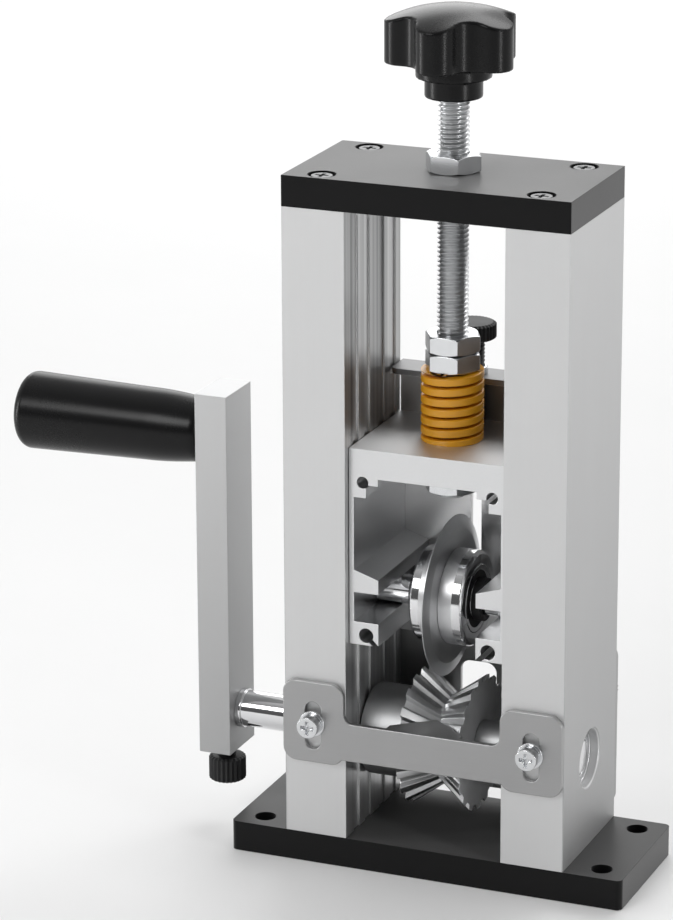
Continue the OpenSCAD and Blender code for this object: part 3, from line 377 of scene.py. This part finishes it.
cloud = grain(place, (110, 110, 110), detail=3.0)
cloud.between(hardened_dull, hardened_light).into(shader, "Base Color")
faced = 1 - place.axis("X").within(wheel_end)
(0.26 + 0.15 * fine + 0.3 * faced).into(shader, "Roughness")
(1 - 0.75 * faced).into(shader, "Metallic")
fine.raised(shader, depth=0.00001)
eased("drive_shaft", turned_ease, polished, "drive", "polished_steel")
eased("wheel_spacers", turned_ease, sleeve_metal, "drive", "bright_aluminium")
for wheel in ("wheel_left", "wheel_right"):
    eased(wheel, tooth_ease, toothed, "drive", "tool_steel", crease=35)

# Crank arm
# A length of flat aluminium bar, brushed along its length and anodised like the uprights. It
# is bored for the shaft at its foot and tapped for the handle bolt at its head.
arm_ease = 0.0005
eased("crank_arm", arm_ease, satin, "drive", "satin_aluminium")

# Handle
# A moulded grip of black plastic that turns on a plated bolt. It is narrow at the arm, swells
# over the first third and is rounded at its far end, where the bolt head sits in a recess.
arm_face, grip_axis = -0.0854, 0.134
grip_length, neck_length = 0.0645, 0.0194
near_radius, mid_radius, far_radius, end_round = 0.0104, 0.0119, 0.0128, 0.0035
bore_radius, recess_radius, recess_depth = 0.0041, 0.0066, 0.0071
neck_edge, recess_edge = 0.0006, 0.0003
neck_steps, end_steps = 12, 10
plastic_dark = (0.003, 0.003, 0.0032)
plastic_light = (0.006, 0.006, 0.0064)
seed_size, weld_reach = 0.001, 0.000001


def traced(name, points, closed):
    """A wire drawn from point to point, as the section of a piece."""
    bpy.ops.object.select_all(action="DESELECT")
    bpy.ops.mesh.primitive_plane_add(size=seed_size, location=(0, 0, 0))
    piece = bpy.context.object
    piece.name = piece.data.name = name
    bpy.ops.object.mode_set(mode="EDIT")
    bpy.ops.mesh.select_all(action="SELECT")
    bpy.ops.mesh.merge(type="CENTER")
    bpy.ops.transform.translate(value=points[0])
    ends = points + [points[0]] if closed else points
    for start, end in zip(ends, ends[1:]):
        step = [b - a for a, b in zip(start, end)]
        bpy.ops.mesh.extrude_vertices_move(TRANSFORM_OT_translate={"value": step})
    bpy.ops.mesh.select_all(action="SELECT")
    bpy.ops.mesh.remove_doubles(threshold=weld_reach)
    bpy.ops.object.mode_set(mode="OBJECT")
    return piece


def swept(name, section, closed=True, turns=1, rise=0.0, steps=96):
    """A section, as distances from the Z axis and heights, swept round that axis."""
    piece = traced(name, [(r, 0, z) for r, z in section], closed)
    applied(piece, "SCREW", angle=2 * math.pi, screw_offset=rise, iterations=turns, steps=steps,
            render_steps=steps, use_merge_vertices=rise == 0, merge_threshold=weld_reach)
    bpy.ops.object.mode_set(mode="EDIT")
    bpy.ops.mesh.select_all(action="SELECT")
    bpy.ops.mesh.remove_doubles(threshold=weld_reach)
    bpy.ops.mesh.normals_make_consistent(inside=False)
    bpy.ops.object.mode_set(mode="OBJECT")
    return piece


def settled(piece, place, turn=(0, 0, 0)):
    """Puts a piece at its place and turn, and makes both part of its mesh."""
    alone(piece)
    piece.location = place
    piece.rotation_euler = turn
    bpy.ops.object.transform_apply(location=True, rotation=True, scale=True)
    return piece


section = [(bore_radius, 0), (near_radius - neck_edge, 0), (near_radius, neck_edge)]
for step in range(1, neck_steps + 1):
    share = step / neck_steps
    swell = (mid_radius - near_radius) * math.sin(share * math.pi / 2)
    section.append((near_radius + swell, neck_length * share + neck_edge * (1 - share)))
for step in range(end_steps + 1):
    turn = step / end_steps * math.pi / 2
    section.append((far_radius - end_round + end_round * math.cos(turn),
                    grip_length - end_round + end_round * math.sin(turn)))
section += [(recess_radius + recess_edge, grip_length), (recess_radius, grip_length - recess_edge),
            (recess_radius, grip_length - recess_depth), (bore_radius, grip_length - recess_depth)]
grip = settled(swept("handle_grip_piece", section), (arm_face, 0, grip_axis), (0, -math.pi / 2, 0))
smooth(grip, crease=40)
plastic, shader, place = new_finish("black_plastic", roughness=0.34, Specular_IOR_Level=0.22)
pebble = grain(place, (1500, 1500, 1500), detail=3.0)
cloud = grain(place, (45, 45, 45), detail=4.0)
cloud.between(plastic_dark, plastic_light).into(shader, "Base Color")
(0.2 + 0.08 * cloud + 0.05 * pebble).into(shader, "Roughness")
pebble.raised(shader, depth=0.000003)
finish_of(grip, plastic, "grip", "black_plastic", "handle_grip")
eased("handle_bolt", turned_ease, zinc, "drive", "plated_steel")

# Clamp screw, gate screw and rear guide screws
# Black oxidised steel screws with straight knurls on their heads, turned by hand. The gate
# screw shows a length of its thread.
clamp_x, clamp_foot, clamp_tip = -0.0793, 0.0137, 0.03455
clamp_head_radius, clamp_head_height, clamp_ridges = 0.00615, 0.0085, 24
clamp_thread_radius, clamp_pitch = 0.003, 0.001
lifter_y, lifter_tip, lifter_foot = 0.0176, 0.1413, 0.1694
lifter_head_radius, lifter_head_height, lifter_ridges = 0.0077, 0.0055, 34
lifter_thread_radius, lifter_pitch = 0.004, 0.00125
thumb_x, thumb_y, thumb_z = 0.0373, 0.027, 0.05
thumb_head_radius, thumb_head_height, thumb_ridges = 0.007, 0.0062, 30
collar_radius, collar_height = 0.005, 0.0044
shank_radius, shank_depth, shank_overlap = 0.003, 0.013, 0.0002
knurl_depth, head_chamfer = 0.0004, 0.0006
thread_depth_share = 0.61
root_share, flank_share, crest_share = 0.12, 0.5, 0.62
oxide_dark = (0.012, 0.012, 0.0126)
oxide_light = (0.02, 0.02, 0.021)
black_oxide, shader, place = new_finish("black_oxide", roughness=0.5, Specular_IOR_Level=0.3)
fine = grain(place, (1800, 1800, 1800), detail=3.0)
cloud = grain(place, (150, 150, 150), detail=3.0)
cloud.between(oxide_dark, oxide_light).into(shader, "Base Color")
(0.42 + 0.14 * cloud).into(shader, "Roughness")
fine.raised(shader, depth=0.000006)


def knurled_head(name, radius, thickness, ridges, foot):
    """A knurled disc on the Z axis with its underside at foot and both rims chamfered."""
    bpy.ops.object.select_all(action="DESELECT")
    bpy.ops.mesh.primitive_cylinder_add(vertices=2 * ridges, radius=radius, location=(0, 0, thickness / 2),
                                        depth=thickness - 2 * head_chamfer)
    piece = bpy.context.object
    piece.name = piece.data.name = name
    bpy.ops.object.transform_apply(location=True)
    bpy.ops.object.mode_set(mode="EDIT")
    bpy.ops.mesh.select_mode(type="VERT")
    bpy.ops.mesh.select_all(action="DESELECT")
    bpy.ops.object.mode_set(mode="OBJECT")
    for vertex in piece.data.vertices:
        column = round(math.atan2(vertex.co.y, vertex.co.x) / math.pi * ridges)
        vertex.select = column % 2 == 0
    bpy.ops.object.mode_set(mode="EDIT")
    share = 1 - knurl_depth / radius
    bpy.ops.transform.resize(value=(share, share, 1), center_override=(0, 0, thickness / 2))
    for way in (-1, 1):
        bpy.ops.mesh.select_all(action="DESELECT")
        bpy.ops.object.mode_set(mode="OBJECT")
        for face in piece.data.polygons:
            face.select = face.normal.z * way > 0.9
        bpy.ops.object.mode_set(mode="EDIT")
        bpy.ops.mesh.select_mode(type="FACE")
        bpy.ops.mesh.extrude_region_move(TRANSFORM_OT_translate={"value": (0, 0, way * head_chamfer)})
        share = 1 - (head_chamfer + knurl_depth) / radius
        bpy.ops.transform.resize(value=(share, share, 1), center_override=(0, 0, thickness / 2))
        bpy.ops.mesh.select_mode(type="VERT")
    bpy.ops.object.mode_set(mode="OBJECT")
    return settled(piece, (0, 0, foot))


def cut_flat(piece, low, high):
    """Cuts a coiled piece level at both ends and closes it there."""
    alone(piece)
    bpy.ops.object.mode_set(mode="EDIT")
    for level, way in ((low, -1), (high, 1)):
        bpy.ops.mesh.select_all(action="SELECT")
        bpy.ops.mesh.bisect(plane_co=(0, 0, level), plane_no=(0, 0, way), use_fill=True, clear_outer=True)
    bpy.ops.mesh.select_all(action="SELECT")
    bpy.ops.mesh.normals_make_consistent(inside=False)
    bpy.ops.object.mode_set(mode="OBJECT")


def threaded(name, radius, pitch, low, high):
    """A threaded bar on the Z axis, cut flat at both ends."""
    root = radius - thread_depth_share * pitch
    section = [(root, 0), (root, pitch * root_share), (radius, pitch * flank_share),
               (radius, pitch * crest_share), (root, pitch)]
    turns = math.ceil((high - low) / pitch) + 2
    piece = swept(name, section, closed=False, turns=turns, rise=pitch, steps=32)
    settled(piece, (0, 0, low - pitch))
    cut_flat(piece, low, high)
    return piece


def plain_bar(name, radius, low, high):
    """A plain turned bar on the Z axis with both rims eased."""
    section = [(0, low), (radius - flat_ease, low), (radius, low + flat_ease), (radius, high - flat_ease),
               (radius - flat_ease, high), (0, high)]
    return swept(name, section, closed=False, steps=48)


def joined(name, *parts):
    """Joins parts that are one piece of metal."""
    alone(parts[0])
    for part in parts:
        part.select_set(True)
    bpy.ops.object.join()
    parts[0].name = parts[0].data.name = name
    return parts[0]


clamp_top = clamp_foot + clamp_head_height
clamp = joined("clamp_screw_piece",
               knurled_head("head", clamp_head_radius, clamp_head_height, clamp_ridges, clamp_foot),
               threaded("thread", clamp_thread_radius, clamp_pitch, clamp_top, clamp_tip))
settled(clamp, (clamp_x, 0, 0))
smooth(clamp, crease=25)
finish_of(clamp, black_oxide, "clamp", "black_steel", "clamp_screw")
lifter = joined("gate_screw_piece",
                knurled_head("head", lifter_head_radius, lifter_head_height, lifter_ridges, lifter_foot),
                threaded("thread", lifter_thread_radius, lifter_pitch, lifter_tip, lifter_foot))
settled(lifter, (0, lifter_y, 0))
smooth(lifter, crease=25)
finish_of(lifter, black_oxide, "gate_turn", "black_steel", "gate_screw")
for name, body, x in (("rear_screw_left", "rear_left_turn", -thumb_x),
                      ("rear_screw_right", "rear_right_turn", thumb_x)):
    thumb = joined(name + "_piece",
                   knurled_head("head", thumb_head_radius, thumb_head_height, thumb_ridges, collar_height),
                   plain_bar("collar", collar_radius, 0, collar_height),
                   plain_bar("shank", shank_radius, -shank_depth, shank_overlap))
    settled(thumb, (x, thumb_y, thumb_z), (-math.pi / 2, 0, 0))
    smooth(thumb, crease=25)
    finish_of(thumb, black_oxide, body, "black_steel", name)

# Pressure screw and its nuts
# A length of zinc-plated threaded rod through the tapped top plate. One nut locks it, two
# jammed nuts press on the spring, and a nut with a washer lifts the carriage from below.
rod_radius, rod_pitch, rod_foot, rod_head = 0.005, 0.0015, 0.1225, 0.268
rolled_dull = (0.5, 0.505, 0.51)
rolled_light = (0.7, 0.71, 0.72)
rolled, shader, place = new_finish("rolled_zinc", roughness=0.3, metallic=1.0)
cloud = grain(place, (300, 300, 300), detail=4.0)
cloud.between(rolled_dull, rolled_light).into(shader, "Base Color")
(0.22 + 0.2 * cloud).into(shader, "Roughness")
rod = threaded("threaded_rod_piece", rod_radius, rod_pitch, rod_foot, rod_head)
smooth(rod, crease=25)
finish_of(rod, rolled, "travel", "plated_steel", "threaded_rod")
for name, body in (("lock_nut", "lock"), ("spring_nuts", "travel"), ("retaining_washer", "travel"),
                   ("retaining_nut", "travel")):
    eased(name, head_ease, zinc, body, "plated_steel")

# Star knob
# A five-lobed knob moulded in black plastic on the head of the rod, with a domed top, a
# collar and a hub. Its edges have the soft rounding of the mould.
knob_grid = 0.0004
knob = copy_of("star_knob")
applied(knob, "REMESH", mode="VOXEL", voxel_size=knob_grid)
applied(knob, "SMOOTH", factor=0.5, iterations=7)
alone(knob)
bpy.ops.object.shade_smooth()
finish_of(knob, plastic, "presser", "black_plastic", "star_knob")

# Die spring
# A strong spring coiled from flat wire with rounded edges, ground flat at both ends and
# painted amber. The real one shortens as the carriage rises against it.
spring_radius, wire_width, wire_height, wire_round = 0.01, 0.0034, 0.0025, 0.00045
spring_foot, spring_head, coils = 0.14135, 0.16405, 6
corner_steps = 3
amber_dull = (0.7, 0.3, 0.004)
amber_light = (0.84, 0.39, 0.007)
outer_bend = spring_radius - wire_round
inner_bend = spring_radius - wire_width + wire_round
level_bend = wire_height / 2 - wire_round
section = []
for quarter, (r, z) in enumerate(((outer_bend, level_bend), (inner_bend, level_bend),
                                  (inner_bend, -level_bend), (outer_bend, -level_bend))):
    for step in range(corner_steps + 1):
        turn = (quarter + step / corner_steps) * math.pi / 2
        section.append((r + wire_round * math.cos(turn), z + wire_round * math.sin(turn)))
pitch = (spring_head - spring_foot - wire_height) / coils
spring = swept("die_spring_piece", section, turns=coils + 2, rise=pitch, steps=48)
settled(spring, (0, 0, spring_foot + wire_height / 2 - pitch))
cut_flat(spring, spring_foot, spring_head)
smooth(spring, crease=40)
amber, shader, place = new_finish("amber_paint", roughness=0.4, Coat_Weight=0.3, Coat_Roughness=0.2)
cloud = grain(place, (160, 160, 160), detail=3.0)
cloud.between(amber_dull, amber_light).into(shader, "Base Color")
(0.36 + 0.1 * cloud).into(shader, "Roughness")
cloud.raised(shader, depth=0.00003)
finish_of(spring, amber, "travel", "amber_paint", "die_spring")
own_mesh(spring)

# Carriage
# A block cut from an aluminium profile, left bright, that slides between the uprights. Its
# faces show the lines of the die along their length, and its top and ends are linished.
bright_dull = (0.7, 0.705, 0.71)
bright_light = (0.78, 0.785, 0.79)
web_top = 0.1411
bright, shader, place = new_finish("bright_aluminium", roughness=0.2, metallic=1.0)
drawn = grain(place, (1700, 12, 1700), detail=5.0)
cloud = grain(place, (40, 14, 40), detail=4.0)
(0.5 * drawn + 0.5 * cloud).between(bright_dull, bright_light).into(shader, "Base Color")
linished = place.axis("Z").above(web_top)
(0.24 + 0.12 * drawn + 0.06 * cloud + 0.18 * linished).into(shader, "Roughness")
drawn.raised(shader, depth=0.000005)
eased("carriage", flat_ease, bright, "slide", "bright_aluminium")

# Blade axle with its sleeves and bearings
# A ground pin in the slots of the carriage, with black steel sleeves that keep the two sealed
# bearings in the middle.
eased("blade_axle", turned_ease, polished, "slide", "polished_steel")
eased("axle_sleeves", turned_ease, black_oxide, "slide", "black_steel")
eased("blade_bearing_inner", turned_ease, polished, "slide", "polished_steel")
eased("blade_bearing_outer", turned_ease, polished, "blade", "polished_steel")
eased("blade_seals", shield_ease, rubber, "blade", "black_rubber")

# Blade with its hub and clamp ring
# A round blade of tool steel, ground on both faces and again at its edge, held between a hub
# and a ring of polished steel that each have a finely turned band.
axle_height = 0.0886
band_reach = 0.0056
lines_a_metre = 9000
blade_dull = (0.5, 0.505, 0.51)
blade_light = (0.64, 0.645, 0.65)


def turned_lines(distance, detail):
    """The fine lines that a lathe or a grinder leaves, one after another along a distance."""
    return distance.node("TexNoise", {"W": distance * lines_a_metre, "Scale": 1.0, "Detail": detail},
                         noise_dimensions="1D")


blade_steel, shader, place = new_finish("blade_steel", roughness=0.26, metallic=1.0)
centred = place.node("Mapping", {"Vector": place, "Location": (0, 0, -axle_height), "Scale": (0, 1, 1)})
rings = turned_lines(place.node("VectorMath", {0: centred}, out="Value", operation="LENGTH"), 3.0)
cloud = grain(place, (60, 60, 60), detail=3.0)
(0.5 * rings + 0.5 * cloud).between(blade_dull, blade_light).into(shader, "Base Color")
(0.3 + 0.14 * rings + 0.04 * cloud).into(shader, "Roughness")
rings.raised(shader, depth=0.000004)
eased("blade_disc", 0, blade_steel, "blade", "tool_steel", crease=5)
banded, shader, place = new_finish("banded_steel", roughness=0.1, metallic=1.0)
cloud = grain(place, (120, 120, 120), detail=3.0)
cloud.between(polish_dull, polish_light).into(shader, "Base Color")
band = place.axis("X").within(band_reach)
turned = turned_lines(place.axis("X"), 2.0)
(0.05 + 0.07 * cloud + band * (0.24 + 0.1 * turned)).into(shader, "Roughness")
for turned_piece in ("blade_hub", "clamp_ring"):
    eased(turned_piece, turned_ease, banded, "blade", "polished_steel")

# Guide plates and gate
# Punched steel sheet. The guides are nickel plated to a satin grey, the front one notched with a
# bent tongue and the rear one flat with a rounded inlet. The slotted gate is a lighter brushed
# steel, bent over at its top, and that bent-over top is painted dark as shade.
nickel_dull = (0.37, 0.37, 0.372)
nickel_light = (0.44, 0.44, 0.442)
gate_painted_shade = (0.22, 0.22, 0.222)
gate_light = (0.66, 0.66, 0.662)
flange_foot = 0.1562
guide_ease, bent_ease = 0.0005, 0.0003
nickel, shader, place = new_finish("satin_nickel", roughness=0.36, metallic=0.9)
brushed = grain(place, (40, 900, 1800), detail=4.0)
cloud = grain(place, (50, 50, 50), detail=3.0)
(0.4 * brushed + 0.6 * cloud).between(nickel_dull, nickel_light).into(shader, "Base Color")
(0.3 + 0.1 * brushed + 0.05 * cloud).into(shader, "Roughness")
brushed.raised(shader, depth=0.000004)
eased("front_guide", guide_ease, nickel, "front_slide", "guide_steel")
eased("rear_guide", bent_ease, nickel, "rear_slide", "guide_steel")
gate_steel, shader, place = new_finish("gate_steel", roughness=0.36, metallic=0.9)
brushed = grain(place, (40, 1400, 1800), detail=4.0)
cloud = grain(place, (50, 50, 50), detail=3.0)
flange = place.axis("Z").above(flange_foot)
# Painted shade: the bent-over flange at the top is painted much darker.
brightness_and_painted_shade = 0.8 + 0.08 * brushed + 0.12 * cloud - 0.9 * flange
brightness_and_painted_shade.between(gate_painted_shade, gate_light).into(shader, "Base Color")
(0.26 + 0.1 * brushed + 0.05 * cloud + 0.12 * flange).into(shader, "Roughness")
brushed.raised(shader, depth=0.000004)
eased("gate_plate", bent_ease, gate_steel, "gate", "guide_steel")
eased("gate_nut", turned_ease, zinc, "gate", "plated_steel")
